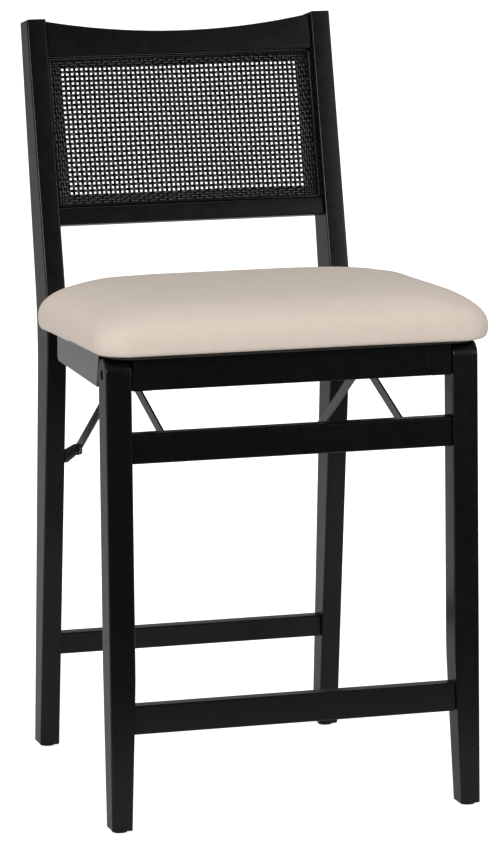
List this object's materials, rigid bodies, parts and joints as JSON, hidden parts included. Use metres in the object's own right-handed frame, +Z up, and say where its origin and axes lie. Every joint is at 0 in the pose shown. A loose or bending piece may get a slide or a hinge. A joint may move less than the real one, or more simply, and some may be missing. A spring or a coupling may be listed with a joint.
{
  "type": "folding bar stool",
  "caption": "Folding wooden counter stool with an open cane back, a padded seat, a footrest rail between the front legs, and steel braces that let it fold flat.",
  "frame": {"origin": "centre of the footprint box, on the floor", "axes": "+Z up, -Y towards the sitter's knees (the front), +X to the right of someone who faces the front"},
  "size_m": [0.483, 0.521, 0.9112],
  "materials": {
    "black_wood": "satin black stain with the grain faintly visible",
    "cane": "woven strands stained black",
    "linen": "plain woven beige upholstery",
    "plywood": "raw",
    "steel": "zinc plated",
    "dark_nylon": "moulded"
  },
  "bodies": {
    "rear_frame": {"rear_post_left": "black_wood", "rear_post_right": "black_wood", "crest_rail": "black_wood", "lower_back_rail": "black_wood", "rear_stretcher": "black_wood", "cane_bead": "black_wood", "cane_panel": "cane", "rear_glide_left": "dark_nylon", "rear_glide_right": "dark_nylon", "rear_brace_stud_left": "steel", "rear_brace_stud_right": "steel", "seat_rest_left": "steel", "seat_rest_right": "steel"},
    "rear_link_left": {"rear_brace_left": "steel", "slide_pin_left": "steel"},
    "front_link_left": {"front_brace_left": "steel"},
    "front_frame": {"front_leg_left": "black_wood", "front_leg_right": "black_wood", "upper_front_rail": "black_wood", "footrest_rail": "black_wood", "front_glide_left": "dark_nylon", "front_glide_right": "dark_nylon", "front_brace_ear_left": "steel", "front_brace_ear_right": "steel", "front_brace_rivet_left": "steel", "front_brace_rivet_right": "steel"},
    "seat": {"front_apron": "black_wood", "rear_apron": "black_wood", "seat_board": "plywood", "cushion": "linen", "seat_side_rail_left": "black_wood", "seat_side_rail_right": "black_wood", "seat_side_block_left": "black_wood", "seat_side_block_right": "black_wood", "corner_block_front_left": "plywood", "corner_block_front_right": "plywood", "corner_block_rear_left": "plywood", "corner_block_rear_right": "plywood", "board_screw_front_left": "steel", "board_screw_front_right": "steel", "board_screw_rear_left": "steel", "board_screw_rear_right": "steel", "slide_track_left": "steel", "slide_track_right": "steel", "leg_pivot_pin_left": "steel", "leg_pivot_pin_right": "steel", "leg_washer_left": "dark_nylon", "leg_washer_right": "dark_nylon"},
    "rear_link_right": {"rear_brace_right": "steel", "slide_pin_right": "steel"},
    "front_link_right": {"front_brace_right": "steel"}
  },
  "joints": [
    {"name": "fold", "type": "hinge", "parent": "rear_frame", "child": "rear_link_left", "pos_m": [-0.15365, 0.16255, 0.3827], "axis": [-1, 0, 0], "range_deg": [0, 47.45]},
    {"name": "front_brace_turn_left", "type": "hinge", "parent": "rear_link_left", "child": "front_link_left", "pos_m": [-0.14765, -0.03915, 0.5132], "axis": [1, 0, 0], "range_deg": [0, 105.91]},
    {"name": "front_frame_turn", "type": "hinge", "parent": "front_link_left", "child": "front_frame", "pos_m": [-0.14765, -0.19595, 0.456], "axis": [-1, 0, 0], "range_deg": [0, 46.46]},
    {"name": "seat_turn", "type": "hinge", "parent": "front_frame", "child": "seat", "pos_m": [0, -0.21465, 0.5385], "axis": [1, 0, 0], "range_deg": [0, 54.01]},
    {"name": "rear_brace_turn_right", "type": "hinge", "parent": "rear_frame", "child": "rear_link_right", "pos_m": [0.15365, 0.16255, 0.3827], "axis": [-1, 0, 0], "range_deg": [0, 47.46]},
    {"name": "front_brace_turn_right", "type": "hinge", "parent": "rear_link_right", "child": "front_link_right", "pos_m": [0.14765, -0.03915, 0.5132], "axis": [1, 0, 0], "range_deg": [0, 105.91]}
  ],
  "couplings": [
    {"joint": "front_brace_turn_left", "follows": "fold", "ratio": 2.2317},
    {"joint": "front_frame_turn", "follows": "fold", "ratio": 0.97885},
    {"joint": "seat_turn", "follows": "fold", "ratio": 1.138},
    {"joint": "rear_brace_turn_right", "follows": "fold", "ratio": 1},
    {"joint": "front_brace_turn_right", "follows": "fold", "ratio": 2.2317}
  ]
}
